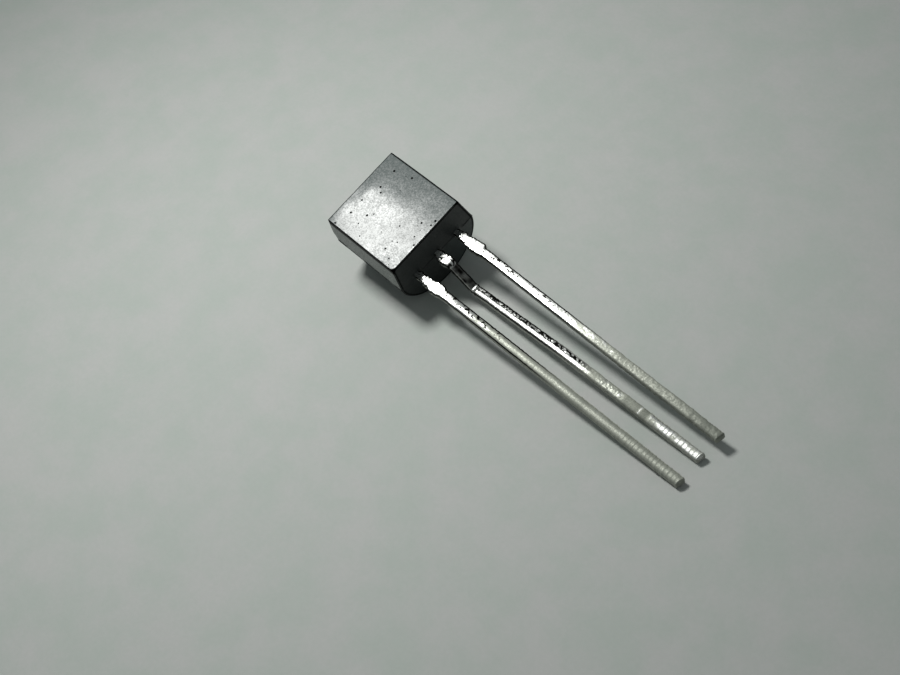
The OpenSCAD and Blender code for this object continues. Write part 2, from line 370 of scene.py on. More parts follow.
def moulded_epoxy():
    """Black moulding compound with a fine mottled grain. The face has a clear coat, whole on the
    collector's side and fading towards the emitter's, laid where the face shows its sheen. The same
    mask makes the face's colour lighter there, a painted sheen, and its surface smoother. Painted
    shade darkens the ends and thin lines along the edges and rims, and the knocked corners are
    darker too. Painted reflection of the floor makes the walls lighter. The dark specks are kept
    mostly to the face. They and the painted shade lines give back no light of their own, so they
    count as black metal."""
    material, f, shader, place = new_finish("moulded_epoxy")
    grain = use(f, moulded_grain, {"Place": place, "Grains per mm": 14.0, "Specks per mm": 4.2,
                                   "Speck size": 0.27})
    wall = mark(f, "wall")
    coat_and_painted_sheen = mark(f, "coat_and_painted_sheen")
    edge = mark(f, "edge")
    end = mark(f, "end_face")
    mottle = f.math("SUBTRACT", grain["Mottle"], 0.5)
    off_face = f.math("MULTIPLY_ADD", f.math("MAXIMUM", wall, end), -2.0, 1.0, clamp=True)
    specks = f.math("MULTIPLY", grain["Specks"], f.math("MAXIMUM", off_face, 0.12))
    speck_keep = f.math("SUBTRACT", 1.0, specks)
    tone = f.blend(grain["Mottle"], (0.016, 0.029, 0.028, 1), (0.034, 0.052, 0.050, 1))
    # painted sheen: the face's colour is made lighter where the face shows its sheen
    tone = f.blend(f.math("MULTIPLY", coat_and_painted_sheen, f.math("MULTIPLY_ADD", grain["Mottle"], 0.5, 0.5)), tone,
                   (0.095, 0.098, 0.094, 1))
    # painted reflection: the walls are made lighter in colour, standing for the pale floor they reflect,
    # less so on the rounded back
    tone = f.blend(f.math("MULTIPLY", wall, 0.5), tone, (0.105, 0.118, 0.110, 1))
    # painted shade: the end faces are made darker in colour, standing for the shade the lead end lies in
    tone = f.blend(end, tone, (0.0115, 0.0148, 0.0145, 1))
    # painted shade: near-black lines along the edges and rims, and darker knocked corners
    tone = f.blend(edge, tone, (0.003, 0.003, 0.003, 1))
    tone = f.blend(specks, tone, (0.010, 0.011, 0.011, 1))
    f.tree.links.new(tone, shader.inputs["Base Color"])
    rough = f.math("MULTIPLY_ADD", coat_and_painted_sheen, -0.22, 0.55)
    rough = f.math("MULTIPLY_ADD", wall, -0.24, rough)
    rough = f.math("MULTIPLY_ADD", mottle, 0.16, rough)
    rough = f.math("MULTIPLY_ADD", edge, 0.35, rough)
    rough = f.math("MULTIPLY_ADD", specks, 0.4, rough, clamp=True)
    f.tree.links.new(rough, shader.inputs["Roughness"])
    coat = f.math("MULTIPLY", coat_and_painted_sheen, f.math("MULTIPLY_ADD", mottle, -0.9, 0.95))
    coat = f.math("MULTIPLY", coat, f.math("SUBTRACT", speck_keep, edge), clamp=True)
    f.tree.links.new(coat, shader.inputs["Coat Weight"])
    f.tree.links.new(f.math("MAXIMUM", edge, specks), shader.inputs["Metallic"])
    shader.inputs["Coat Roughness"].default_value = 0.29
    shader.inputs["Coat IOR"].default_value = 1.5
    f.tree.links.new(bump(f, grain["Height"], 0.0012), shader.inputs["Normal"])
    shader.inputs["IOR"].default_value = 1.55
    return material


def flash_resin():
    """Thin resin squeezed out on the parting line: dark, matt and a little ragged."""
    material, f, shader, place = new_finish("flash_resin")
    grain = use(f, moulded_grain, {"Place": place, "Grains per mm": 40.0, "Specks per mm": 7.0,
                                   "Speck size": 0.3})
    tone = f.blend(grain["Cloud"], (0.008, 0.009, 0.009, 1), (0.018, 0.018, 0.018, 1))
    f.tree.links.new(tone, shader.inputs["Base Color"])
    rough = f.math("MULTIPLY_ADD", grain["Mottle"], 0.2, 0.6)
    f.tree.links.new(rough, shader.inputs["Roughness"])
    f.tree.links.new(bump(f, grain["Height"], 0.003), shader.inputs["Normal"])
    shader.inputs["IOR"].default_value = 1.55
    return material


def tinned_metal():
    """Bright tin over the lead's copper alloy: lumpy from the dip, going over in drawn-out
    patches to a grey oxide skin towards the tips, with dark sheared flanks."""
    material, f, shader, place = new_finish("tinned_metal")
    aged = mark(f, "aged")
    flank = mark(f, "flank")
    dirt_and_painted_shade = mark(f, "dirt_and_painted_shade")
    matt = mark(f, "matt")
    worn = use(f, dulling, {"Place": place, "Amount": f.math("MULTIPLY", aged, 0.52),
                            "Patches per mm": 3.6, "Draw out": 0.55})
    deep = f.span(aged, 0.95, 1.3)
    tone = f.blend(worn["Dull"], (0.86, 0.86, 0.84, 1), (0.43, 0.44, 0.385, 1))
    tone = f.blend(deep, tone, (0.235, 0.245, 0.212, 1))
    streaked = f.span(worn["Streaks"], 0.35, 0.7)
    tone = f.blend(f.math("MULTIPLY", streaked, 0.55), tone, (0.20, 0.21, 0.18, 1))
    tone = f.blend(flank, tone, (0.34, 0.35, 0.31, 1))
    # near black under the dark mark: in pits, in dark dots and at the cut ends, and as painted dark
    # reflection on the base lead's dip slope and painted shade past its lip and along the top corners
    tone = f.blend(dirt_and_painted_shade, tone, (0.007, 0.007, 0.006, 1))
    f.tree.links.new(tone, shader.inputs["Base Color"])
    rough = f.math("MULTIPLY_ADD", worn["Dull"], 0.12, matt)
    rough = f.math("MULTIPLY_ADD", f.math("MULTIPLY", streaked, worn["Dull"]), 0.12, rough)
    rough = f.math("MULTIPLY_ADD", f.math("MAXIMUM", flank, dirt_and_painted_shade), 0.28, rough, clamp=True)
    f.tree.links.new(rough, shader.inputs["Roughness"])
    metal = f.math("MULTIPLY_ADD", f.math("MAXIMUM", worn["Dull"], flank), -0.52, 1.0)
    metal = f.math("MAXIMUM", metal, dirt_and_painted_shade)
    f.tree.links.new(metal, shader.inputs["Metallic"])
    f.tree.links.new(bump(f, worn["Height"], 0.0022), shader.inputs["Normal"])
    return material


def polished_silicon():
    """Grey-blue silicon with a fine grain."""
    material, f, shader, place = new_finish("polished_silicon")
    grain = use(f, moulded_grain, {"Place": place, "Grains per mm": 60.0, "Specks per mm": 9.0,
                                   "Speck size": 0.2})
    tone = f.blend(grain["Cloud"], (0.17, 0.19, 0.23, 1), (0.26, 0.27, 0.30, 1))
    f.tree.links.new(tone, shader.inputs["Base Color"])
    rough = f.math("MULTIPLY_ADD", grain["Specks"], 0.3, 0.12)
    f.tree.links.new(rough, shader.inputs["Roughness"])
    shader.inputs["Metallic"].default_value = 0.8
    f.tree.links.new(bump(f, grain["Height"], 0.0004), shader.inputs["Normal"])
    return material


def attach_layer():
    """The grey metal-filled layer under the die, grainy and dull in patches."""
    material, f, shader, place = new_finish("attach_layer")
    worn = use(f, dulling, {"Place": place, "Amount": 0.2, "Patches per mm": 9.0, "Draw out": 1.0})
    tone = f.blend(worn["Dull"], (0.58, 0.57, 0.53, 1), (0.36, 0.35, 0.32, 1))
    f.tree.links.new(tone, shader.inputs["Base Color"])
    f.tree.links.new(f.math("MULTIPLY_ADD", worn["Dull"], 0.25, 0.35), shader.inputs["Roughness"])
    shader.inputs["Metallic"].default_value = 1.0
    f.tree.links.new(bump(f, worn["Height"], 0.004), shader.inputs["Normal"])
    return material


def drawn_gold():
    """Drawn gold wire, with a fine drawing grain."""
    material, f, shader, place = new_finish("drawn_gold")
    worn = use(f, dulling, {"Place": place, "Amount": 0.05, "Patches per mm": 14.0, "Draw out": 0.3})
    tone = f.blend(worn["Streaks"], (0.88, 0.66, 0.28, 1), (0.80, 0.56, 0.20, 1))
    f.tree.links.new(tone, shader.inputs["Base Color"])
    f.tree.links.new(f.math("MULTIPLY_ADD", worn["Dull"], 0.2, 0.16), shader.inputs["Roughness"])
    shader.inputs["Metallic"].default_value = 1.0
    f.tree.links.new(bump(f, worn["Height"], 0.0008), shader.inputs["Normal"])
    return material


# ---- the case ----


def case_outline():
    """Points and outward directions round the case seen from its lead end: the flat, a small
    round at each of its edges, two leaning walls, and a half circle behind the parting line.
    Returns y and z, and their outward directions."""
    half = FACE_WIDTH / 2
    lean = math.atan(WALL_LEAN)
    across = np.sin(np.linspace(-1, 1, 92) * math.pi / 2)
    across = 0.45 * across + 0.55 * np.linspace(-1, 1, 92)
    flat = np.stack([across * (half - FACE_EDGE), 0 * across], -1)
    turn = np.linspace(0, math.pi / 2 - lean, 9)[1:]
    corner = np.stack([half - FACE_EDGE + FACE_EDGE * np.sin(turn),
                       -FACE_EDGE + FACE_EDGE * np.cos(turn)], -1)
    corner_out = np.stack([np.sin(turn), np.cos(turn)], -1)
    down = np.linspace(0, 1, 34)[1:-1, None]
    parting = np.array([BACK_RADIUS, -LEAD_DEPTH])
    wall = corner[-1] + (parting - corner[-1]) * down
    wall_out = np.broadcast_to([math.cos(lean), math.sin(lean)], wall.shape)
    swing = np.linspace(0, math.pi, 181)
    back = np.stack([BACK_RADIUS * np.cos(swing),
                     -LEAD_DEPTH - BACK_RADIUS * np.sin(swing)], -1)
    back_out = np.stack([np.cos(swing), -np.sin(swing)], -1)
    other = np.array([-1.0, 1.0])
    points = np.concatenate([flat, corner, wall, back, wall[::-1] * other, corner[::-1] * other])
    out = np.concatenate([np.broadcast_to([0.0, 1.0], flat.shape), corner_out, wall_out,
                          back_out, wall_out[::-1] * other, corner_out[::-1] * other])
    return points, out


def end_reach(z):
    """How far an end stands out beyond the flat face at depth z: the draft's slope times the
    depth, up to the parting line, and back down by the same slope behind it."""
    return END_SLOPE * (LEAD_DEPTH - np.abs(z + LEAD_DEPTH))


def lead_exit_gap(y, z):
    """Distance from a point of the lead end to the nearest lead's outline there."""
    gaps = [
        np.hypot(np.maximum(np.abs(y - side) - LEAD_WIDTH / 2, 0),
                 np.maximum(np.abs(z + LEAD_DEPTH) - LEAD_THICKNESS / 2, 0))
        for side in (-LEAD_PITCH, 0.0, LEAD_PITCH)
    ]
    return np.min(gaps, axis=0)


def knocked(rings, corner, way, depth):
    """How far each point is pushed in at a knocked corner: the soft excess, k log(1 + e^(d/k)),
    of its height d over a slanted, slightly uneven plane set at a depth below the corner."""
    way = np.array(way) / np.linalg.norm(way)
    over = (rings - np.array(corner)) @ way + depth + 0.012 * unevenness(rings, 0.2, 12)
    return 0.012 * np.logaddexp(0, over / 0.012), way


NEAR_KNOCK = ((0.0, -FACE_WIDTH / 2, 0.0), (1.0, -1.0, 1.0), 0.09)
FAR_KNOCK = ((-FACE_LENGTH - END_SWELL, -BACK_RADIUS, -LEAD_DEPTH), (-1.0, -1.0, -0.3), 0.16)


def case_shell(material):
    """The outline carried from the far end to the lead end. At each end it shrinks by
    r (1 - cos t) while it moves out by r sin t, a quarter round, and the end itself is the
    outline scaled down to the middle of the leads. The face sinks by (1 - u u)(1 - v v) of a
    small depth, u and v from -1 to 1 across it. Wear is then added: a low wave everywhere,
    nicks on the edges, two knocked corners, and resin lips round the leads."""
    outline, out = case_outline()
    turn = np.linspace(0, math.pi / 2, 7)
    close = 1 - np.concatenate([[0.012], np.linspace(0.03, 0.985, 56)])
    inset = END_EDGE * (1 - np.cos(turn))
    middle = np.array([0.0, -LEAD_DEPTH])

    def end_rings(side):
        rounded = outline[None] - inset[:, None, None] * out[None]
        cap = middle + close[:, None, None] * (rounded[-1:] - middle)
        yz = np.concatenate([rounded, cap])
        tuck = END_EDGE * (1 - np.concatenate([np.sin(turn), np.ones(len(close))]))[:, None]
        reach = end_reach(yz[..., 1]) - tuck
        x = reach if side > 0 else -FACE_LENGTH - reach
        return np.concatenate([x[..., None], yz], -1)

    near, far = end_rings(1), end_rings(-1)[::-1]
    t = np.linspace(0, 1, 94)[1:-1, None, None]
    t = 0.5 * t + 0.5 * (1 - np.cos(math.pi * t)) / 2
    body = far[-1] + (near[0] - far[-1]) * t
    rings = np.concatenate([far, body, near])
    x, y, z = rings[..., 0], rings[..., 1], rings[..., 2]
    caps = len(close)
    at_end = np.zeros((len(rings), 1))
    at_end[:caps], at_end[-caps:] = -1, 1
    end_face = np.zeros((len(rings), 1))
    end_face[: caps + 3], end_face[-caps - 3:] = 1, 1
    end_face = end_face * np.ones_like(x)
    # the end faces' painted shade is eased off below the parting line towards the emitter's side
    rear_part = eased((-z - LEAD_DEPTH) / 0.15) * eased((y + 0.3) / 1.2)
    flat = (out[:, 1] > 0.999) * (end_face == 0)

    # nearness to the long edges of the face and to the rims of the ends
    end_gap = np.minimum(np.abs(x - end_reach(z)), np.abs(x + FACE_LENGTH + end_reach(z)))
    wall_gap = np.abs(np.abs(y) - (FACE_WIDTH / 2 - z * WALL_LEAN))
    # painted shade lines: dark along the walls under the face's long edges, round the face's border,
    # along the ends' rims, and round the lead end's outer rim
    long_edge = np.clip((WALL_LINE - (wall_gap - z)) / WALL_LINE_FADE, 0, 1)
    rim_shade_line = np.clip(1 - (end_gap + np.minimum(-z, wall_gap)) / 0.08, 0, 1) * (end_face == 0)
    side_gap, lead_gap = FACE_WIDTH / 2 - FACE_EDGE - np.abs(y), -END_EDGE - x
    round_gap = 0.2 - np.hypot(np.maximum(0.2 - side_gap, 0), np.maximum(0.2 - lead_gap, 0))
    face_gap = np.where(y < 0, np.minimum(round_gap + 0.012, 0.2),
                        np.minimum(side_gap - 0.022, lead_gap + 0.03))
    face_gap = np.minimum(face_gap, x + FACE_LENGTH - END_EDGE)
    face_shade_border = np.clip(0.6 - face_gap / (0.03 + 0.014 * unevenness(rings, 0.12, 25)), 0, 1)
    edge = np.where(flat, face_shade_border, np.maximum(long_edge, rim_shade_line) ** 1.2)
    edge = np.maximum(edge, (end_face == 0) * (end_gap < 0.03) * (np.abs(x + FACE_LENGTH / 2)
                                                                > FACE_LENGTH / 2 - 0.03))
    rim_gap = np.where(z < -LEAD_DEPTH, BACK_RADIUS - np.hypot(y, z + LEAD_DEPTH),
                       np.minimum(wall_gap, -z))
    edge = np.maximum(edge, (at_end > 0) * np.clip(3.0 - rim_gap / 0.045, 0, 1))
    sharp = np.clip(1 - (np.minimum(end_gap, wall_gap) - z) / 0.09, 0, 1)

    way_out = np.zeros(rings.shape)
    way_out[..., 1:] = out
    way_out = np.where(at_end[..., None] == 0, way_out, 0)
    way_out[..., 0] += at_end
    sink = (1 - (2 * x / FACE_LENGTH + 1) ** 2) * (1 - (2 * y / FACE_WIDTH) ** 2)
    rings[..., 2] -= np.where(flat, SINK_DEPTH * sink, 0)
    wave = 0.004 * unevenness(rings, 1.4, 3) + 0.0012 * unevenness(rings, 0.45, 5)
    nicks = np.clip(unevenness(rings, 0.11, 8) - 0.3, 0, 1) * 0.022 * sharp
    nicks += np.clip(unevenness(rings, 0.3, 9) - 0.5, 0, 1) * 0.05 * sharp
    rings = rings + way_out * (wave - nicks)[..., None]

    worn = np.zeros_like(x)
    for knock in (NEAR_KNOCK, FAR_KNOCK):
        push, way = knocked(rings, *knock)
        rings = rings - way * push[..., None]
        worn = np.maximum(worn, eased(push / 0.03) * (1 - flat))

    # resin lips round the leads at the lead end
    lead_gap = lead_exit_gap(rings[..., 1], rings[..., 2])
    lip = np.exp(-(lead_gap / 0.05) ** 2) * (0.02 + 0.015 * unevenness(rings, 0.12, 15))
    rings[..., 0] += np.where(at_end > 0, lip, 0)

    # the face's sheen mask, laid where the face shows its sheen: whole on the collector's side, fading
    # gradually towards the emitter's, and thin at the ends. It gives a clear coat, a smoother surface,
    # and a lighter colour that is a painted sheen
    y = rings[..., 1] + 0.16 * unevenness(rings, 0.4, 21) + 0.09 * unevenness(rings, 0.13, 22)
    x = rings[..., 0] + 0.2 * unevenness(rings, 0.5, 23)
    y = y + 0.45 * eased((-3.55 - x) / 0.5)
    coat_and_painted_sheen = 0.64 * eased((0.95 - y) / 1.15) + 0.23 * eased((1.9 - y) / 1.9)
    coat_and_painted_sheen = coat_and_painted_sheen + 0.11 * eased((-0.4 - y) / 1.2)
    coat_and_painted_sheen = coat_and_painted_sheen + 0.07 * eased((x + 2.6) / 1.5) * eased((2.1 - y) / 0.8) * (coat_and_painted_sheen < 0.5)
    coat_and_painted_sheen = coat_and_painted_sheen * (1 - 0.12 * eased((-2.2 - x) / 1.1)) * (1 - 0.65 * eased((-3.75 - x) / 0.45))
    coat_and_painted_sheen = coat_and_painted_sheen * (1 - 0.24 * eased((-0.8 - y) / 0.6) * eased((x + 1.9) / 0.9))
    coat_and_painted_sheen = coat_and_painted_sheen * (1 - 0.35 * eased((-1.6 - y) / 0.3) * eased((x + 1.9) / 1.2))
    coat_and_painted_sheen = np.where(flat, coat_and_painted_sheen, 0.0)
    return skin("case_shell", rings, material,
                marks={"coat_and_painted_sheen": coat_and_painted_sheen, "edge": np.maximum(edge, 0.5 * worn),
                       "end_face": end_face * (1 - 0.5 * rear_part),
                       "wall": (1 - flat) * (1 - end_face) * (1 - 0.6 * (z < -LEAD_DEPTH))})


def parting_flash(material):
    """A low fin round the case on its parting line: a small tapered section carried round the
    case's outline there, its reach and thickness varied by noise along the way."""
    r = END_EDGE
    length, half = FACE_LENGTH + 2 * END_SWELL, BACK_RADIUS
    sides = [(END_SWELL, half, 0), (-length + END_SWELL, half, 1),
             (-length + END_SWELL, -half, 2), (END_SWELL, -half, 3)]
    path, way = [], []
    for (x, y, k), (x2, y2, _) in zip(sides, sides[1:] + sides[:1]):
        angle = k * math.pi / 2 + np.linspace(0, math.pi / 2, 7)
        centre = np.array([x - math.copysign(r, x - (END_SWELL - length / 2)),
                           y - math.copysign(r, y)])
        out = np.stack([np.cos(angle), np.sin(angle)], -1)
        path.append(centre + r * out)
        way.append(out)
        straight = np.array([x2 - x, y2 - y])
        steps = max(2, int(np.linalg.norm(straight) / 0.03))
        t = np.linspace(0, 1, steps)[1:-1, None]
        last = path[-1][-1]
        path.append(last + straight * (1 - 2 * r / np.linalg.norm(straight)) * t)
        way.append(np.broadcast_to(out[-1], path[-1].shape))
    path, way = np.concatenate(path), np.concatenate(way)
    spots = np.concatenate([path, np.zeros((len(path), 1))], -1)
    reach = FLASH_REACH * (0.62 + 0.38 * unevenness(spots, 0.35, 31))
    reach *= 1 - 0.8 * eased((unevenness(spots, 0.5, 33) - 0.45) / 0.1)
    thick = FLASH_THICKNESS / 2 * (0.8 + 0.2 * unevenness(spots, 0.2, 32))
    profile = np.array([[-0.05, 1.0], [0.0, 1.0], [0.55, 0.85], [0.9, 0.55], [1.0, 0.0],
                        [0.9, -0.55], [0.55, -0.85], [0.0, -1.0], [-0.05, -1.0]])
    away = np.where(profile[:, 0] < 0, profile[:, 0], profile[:, 0] * reach[:, None])
    flat = path[:, None] + way[:, None] * away[..., None]
    z = -LEAD_DEPTH + thick[:, None] * profile[:, 1]
    rings = np.concatenate([flat, z[..., None]], -1)
    push, way = knocked(rings, *FAR_KNOCK)
    rings = rings - way * push[..., None]
    return skin("parting_flash", rings, material, looped=True)


# ---- the leads ----


def softened(line, setbacks):
    """The line with each inner corner replaced by a curve that starts a setback before it and
    ends a setback after it: the weighted mean of those two points and the corner."""
    line = np.asarray(line, float)
    t = np.linspace(0, 1, 13)[:, None]
    parts = [line[:1]]
    for before, corner, after, setback in zip(line[:-2], line[1:-1], line[2:], setbacks):
        start = corner + (before - corner) / np.linalg.norm(before - corner) * setback
        stop = corner + (after - corner) / np.linalg.norm(after - corner) * setback
        parts.append((1 - t) ** 2 * start + 2 * t * (1 - t) * corner + t ** 2 * stop)
    return np.concatenate(parts + [line[-1:]])


def lead_section():
    """A rounded rectangle with evenly named places: how far along the half width and half
    thickness each point is, and its direction on the corner's round."""
    turn = np.linspace(0, math.pi / 2, 5)
    round_out = np.stack([np.cos(turn), np.sin(turn)], -1)
    sides = np.array([[1, 1], [-1, 1], [-1, -1], [1, -1]], float)
    parts = []
    for k, count in enumerate((15, 3, 5, 3)):
        turned = round_out
        for _ in range(k):
            turned = np.stack([-turned[:, 1], turned[:, 0]], -1)
        here, there = sides[k], sides[(k + 1) % 4]
        t = np.linspace(0, 1, count + 2)[1:-1, None]
        parts.append(np.concatenate([np.broadcast_to(here, turned.shape), turned], -1))
        parts.append(np.concatenate([here + (there - here) * t,
                                     np.broadcast_to(turned[-1], (count, 2))], -1))
    section = np.concatenate(parts)
    return section[:, 0], section[:, 1], section[:, 2:]


def lead(name, node, side_line, edges, seed, material, crown, twist, ragged, lumpy, ripple, aged,
         matt, pitch=0.27, dirt_and_painted_shade=((0, 0),), groove=((0, 0),), specks=((0, 0),), lip=0.0, end_dirt=0.4):
    """One lead. The section is carried along the side line, upright to it, between two edges
    that depend on x. Its top is crowned by the square of the distance from its middle, it is
    turned by the twist, and noise, cross ripples and a burred tip are added along its normal.
    Crown, twist, ragged, lumpy, ripple, aged, matt, dirt_and_painted_shade, groove and specks are tables
    against x. A dark mark is laid from its table, as painted dark reflection on the base lead's dip
    slope and painted shade past its lip; in the groove's pits; where noise plus specks passes 1; at
    the sheared end; and as a line of painted shade along each top corner."""
    bends = np.asarray(side_line, float)
    lengths = np.concatenate([[0], np.cumsum(np.linalg.norm(np.diff(bends, axis=0), axis=1))])
    total = lengths[-1]
    s = np.arange(0, total, STATION_STEP)
    tail = total - np.array([0.13, 0.11, 0.085, 0.062, 0.042, 0.026, 0.013, 0.004, 0.0])
    s = np.concatenate([s[s < tail[0] - 0.01], tail])
    x = np.interp(s, lengths, bends[:, 0])
    z = np.interp(s, lengths, bends[:, 1])
    head = np.stack([np.gradient(x, s), np.gradient(z, s)], -1)
    head /= np.linalg.norm(head, axis=1)[:, None]
    up = np.stack([-head[:, 1], head[:, 0]], -1)
    along = np.stack([s, 0 * s, 0 * s], -1)

    def table(rows):
        rows = np.array(rows, float)
        return np.interp(x, rows[:, 0], rows[:, 1])[:, None]

    rows = np.asarray(edges, float)
    low = np.interp(x, rows[:, 0], rows[:, 1])
    high = np.interp(x, rows[:, 0], rows[:, 2])
    rough = table(ragged)[:, 0]
    low = low + rough * (unevenness(along, 0.1, seed) * 0.6 + unevenness(along, 0.045, seed + 1) * 0.5)
    high = high + rough * (unevenness(along, 0.1, seed + 2) * 0.6
                           + unevenness(along, 0.045, seed + 3) * 0.5)
    burr = eased((x - (x[-1] - 0.16)) / 0.1)
    low, high = low - 0.012 * burr, high + 0.025 * burr

    ky, kz, out = lead_section()
    shrink = np.clip((s - tail[1]) / (total - tail[1]), 0, 1)
    tuck = 0.09 * (1 - np.sqrt(np.clip(1 - shrink ** 2, 0, 1)))
    half = (high - low) / 2
    radius = np.minimum(CORNER_RADIUS, half * 0.6)
    width = np.maximum(half - radius - tuck, 0.02)[:, None] * ky + radius[:, None] * out[:, 0]
    depth = (LEAD_THICKNESS / 2 - radius - tuck)[:, None] * kz + radius[:, None] * out[:, 1]
    top = np.clip(kz, 0, 1) * (out[:, 1] > 0)
    depth = depth - table(crown) * (width / half[:, None]) ** 2 * top
    spot = np.stack([s[:, None] + 0 * width, width, 0 * width], -1)
    worn_side = table(groove) * (out[:, 1] > 0.9)
    start = 0.03 * unevenness(spot, 0.08, seed + 11) + 0.022 * unevenness(spot, 0.05, seed + 14) - 0.01
    pitted = eased((width - start) / 0.02)
    depth = depth - worn_side * pitted * (0.75 + 0.25 * unevenness(spot, 0.055, seed + 12))
    from_edge = half[:, None] - np.abs(width)
    turn = table(twist) * math.pi / 180 * eased((x[:, None] - 0.1) / 0.3)
    width, depth = (width * np.cos(turn) - depth * np.sin(turn),
                    width * np.sin(turn) + depth * np.cos(turn))
    centre = (low + high)[:, None] / 2
    rings = np.stack([x[:, None] + depth * up[:, :1], centre + width, z[:, None] + depth * up[:, 1:]],
                     -1)

    # dipped tin: lumps along the normal, cross ripples, and a lip left at the lower bend
    normal = np.stack([
        out[:, 1] * up[:, :1], np.broadcast_to(out[:, 0], depth.shape), out[:, 1] * up[:, 1:]
    ], -1)
    outside = eased((rings[..., 0] - 0.12) / 0.1)
    lumps = 0.6 * unevenness(rings, 0.34, seed + 5) + 0.3 * unevenness(rings, 0.13, seed + 6)
    lumps = table(lumpy) * (lumps + 0.35 * unevenness(rings, 0.07, seed + 7))
    phase = s / pitch + 0.45 * unevenness(along, 0.45, seed + 8)
    part = phase - np.floor(phase)
    saw = np.where(part < 0.78, part / 0.78, (1 - part) / 0.22) * 2 - 1
    saw = saw * (0.7 + 0.3 * unevenness(along, 0.4, seed + 17))
    wave = table(ripple) * saw[:, None] * (0.7 + 0.3 * unevenness(rings, 0.15, seed + 9)) * top
    lips = lip * np.exp(-(((s - np.interp(LIP_PLACE, x, s)) / LIP_WIDTH) ** 2))[:, None] * top
    rings = rings + normal * ((lumps + wave + lips) * outside)[..., None]

    # the sheared end: slightly slanted, with its lower edge dragged
    near_end = eased((s - total + 0.2) / 0.2)[:, None]
    slant = 0.035 * (width / half[:, None]) - 0.03 * (depth / (LEAD_THICKNESS / 2)) - 0.05
    rings[..., 0] += slant * near_end

    flank = eased((np.abs(out[:, 0]) - 0.3) / 0.5) * (0.85 + 0.15 * unevenness(rings, 0.3, seed + 4))
    age = table(aged) + 0.12 * unevenness(rings, 0.7, seed + 10)
    # from the table: painted dark reflection on the dip slope and painted shade past the lip, lighter at
    # the slope's edges
    dirt_and_shade = table(dirt_and_painted_shade) * (1 - 0.7 * np.exp(-((np.abs(width) / half[:, None] - 0.85) / 0.1) ** 2))
    dirt_and_shade = dirt_and_shade * (0.9 + 0.3 * unevenness(rings, 0.2, seed + 13))
    flecks = eased((0.16 - unevenness(spot, 0.065, seed + 15)) / 0.1) * (width < 0.85 * half[:, None])
    dirt_and_shade = np.maximum(dirt_and_shade, np.clip(50 * worn_side, 0, 1) * pitted * flecks)
    dotted = eased((unevenness(spot, 0.075, seed + 16) + table(specks) - 1) / 0.08)
    dotted = dotted * eased((width + np.where(x[:, None] < 1, 0.3, 0.07)) / 0.04)
    dirt_and_shade = np.maximum(dirt_and_shade, dotted * (out[:, 1] > 0.9))
    dirt_and_shade = np.maximum(dirt_and_shade, end_dirt * eased((s - total + 0.08) / 0.07)[:, None])
    # painted shade lines along the top corners, fading out towards the tips
    line = (from_edge < np.where(width < 0, NEAR_SHADE_LINE, FAR_SHADE_LINE)) * (out[:, 1] >= -0.01) * (kz > 0)
    dirt_and_shade = np.maximum(dirt_and_shade, line * (1 - eased((x[:, None] - SHADE_LINE_FROM) / SHADE_LINE_FADE)))
    piece = skin(name, rings, material,
                 marks={"flank": np.clip(flank, 0, 1), "aged": np.clip(age, 0, 1.3),
                        "dirt_and_painted_shade": np.clip(dirt_and_shade, 0, 1), "matt": table(matt) + 0 * width})
    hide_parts(node)
    return piece


def side_line(start, tip):
    """A lead seen from the side: level out of the case, then straight to its tip."""
    return [[start, -LEAD_DEPTH], [FAN_START, -LEAD_DEPTH], [tip[0], tip[2]]]


def edge_table(rows, root_rows, tip_y, root_y):
    """The two edges of a lead against x: the rows inside the case, then half widths about a
    centre line that leaves straight and fans out to the tip."""
    table = [list(r) for r in root_rows]
    for x, left, right in rows:
        fan = root_y + (tip_y - root_y) * max(0.0, (x - FAN_START) / (15.1 - FAN_START))
        table.append([x, fan - left, fan + right])
    return table


HALF = LEAD_WIDTH / 2
PADDLE_FAR, PADDLE_NEAR = 0.76 - FACE_LENGTH - END_SWELL, -1.2
PADDLE_OUTER, PADDLE_SIDE = 0.35 - BACK_RADIUS, -0.05
POST_LENGTH, POST_WIDTH, ROOT_INSET = 0.65, 0.65, 0.35
EMITTER_ROOT = PADDLE_NEAR - 0.3
EMITTER_POST_SIDE = LEAD_PITCH + HALF - POST_WIDTH - 0.2


def collector_lead(material):
    edges = edge_table(
        [(-1.195, HALF, HALF), (0.1, 0.17, 0.17), (0.3, 0.18, 0.2), (0.6, 0.21, 0.2),
         (0.95, 0.24, 0.23), (1.1, 0.29, 0.27), (1.45, 0.29, 0.29), (1.66, 0.24, 0.28),
         (1.8, 0.215, 0.22), (2.0, HALF, HALF), (15.3, HALF, HALF)],
        [(PADDLE_FAR, PADDLE_OUTER, PADDLE_SIDE), (PADDLE_NEAR, PADDLE_OUTER, PADDLE_SIDE)],
        collector_tip[1], -LEAD_PITCH)
    return lead(
        "collector_pin_tinned", "collector_lead", side_line(PADDLE_FAR, collector_tip), edges,
        seed=41, material=material,
        crown=[(0, 0.02), (2, 0.02), (2.5, 0.045), (4, 0.075), (15, 0.09)],
        twist=[(0, 0), (1.6, -2), (2.4, -7), (4, -12), (10, -14), (15, -14)],
        ragged=[(0, 0.05), (1.7, 0.045), (2.1, 0.012), (9, 0.01), (15.2, 0.016)],
        lumpy=[(0, 0.012), (2, 0.006), (4, 0.009), (9, 0.009), (12, 0.005), (15, 0.006)],
        ripple=[(2, 0), (8, 0.001), (11.8, 0.001), (12.3, 0.009), (15, 0.009)],
        aged=[(0, 0.0), (2.2, 0.05), (3.6, 0.4), (5, 0.85), (9, 1.0), (15, 1.0)],
        matt=[(0, 0.24), (2.2, 0.28), (4, 0.35), (5.5, 0.36), (9, 0.39), (15, 0.42)],
        groove=[(2.0, 0), (2.3, 0.005), (4.2, 0.004), (5, 0)],
        specks=[(0.3, 0.5), (0.5, 0.3), (1.6, 0.35), (2.1, 0.8), (4.6, 0.75), (5.6, 0.4), (6, 0)],
        pitch=0.19, end_dirt=0.25)


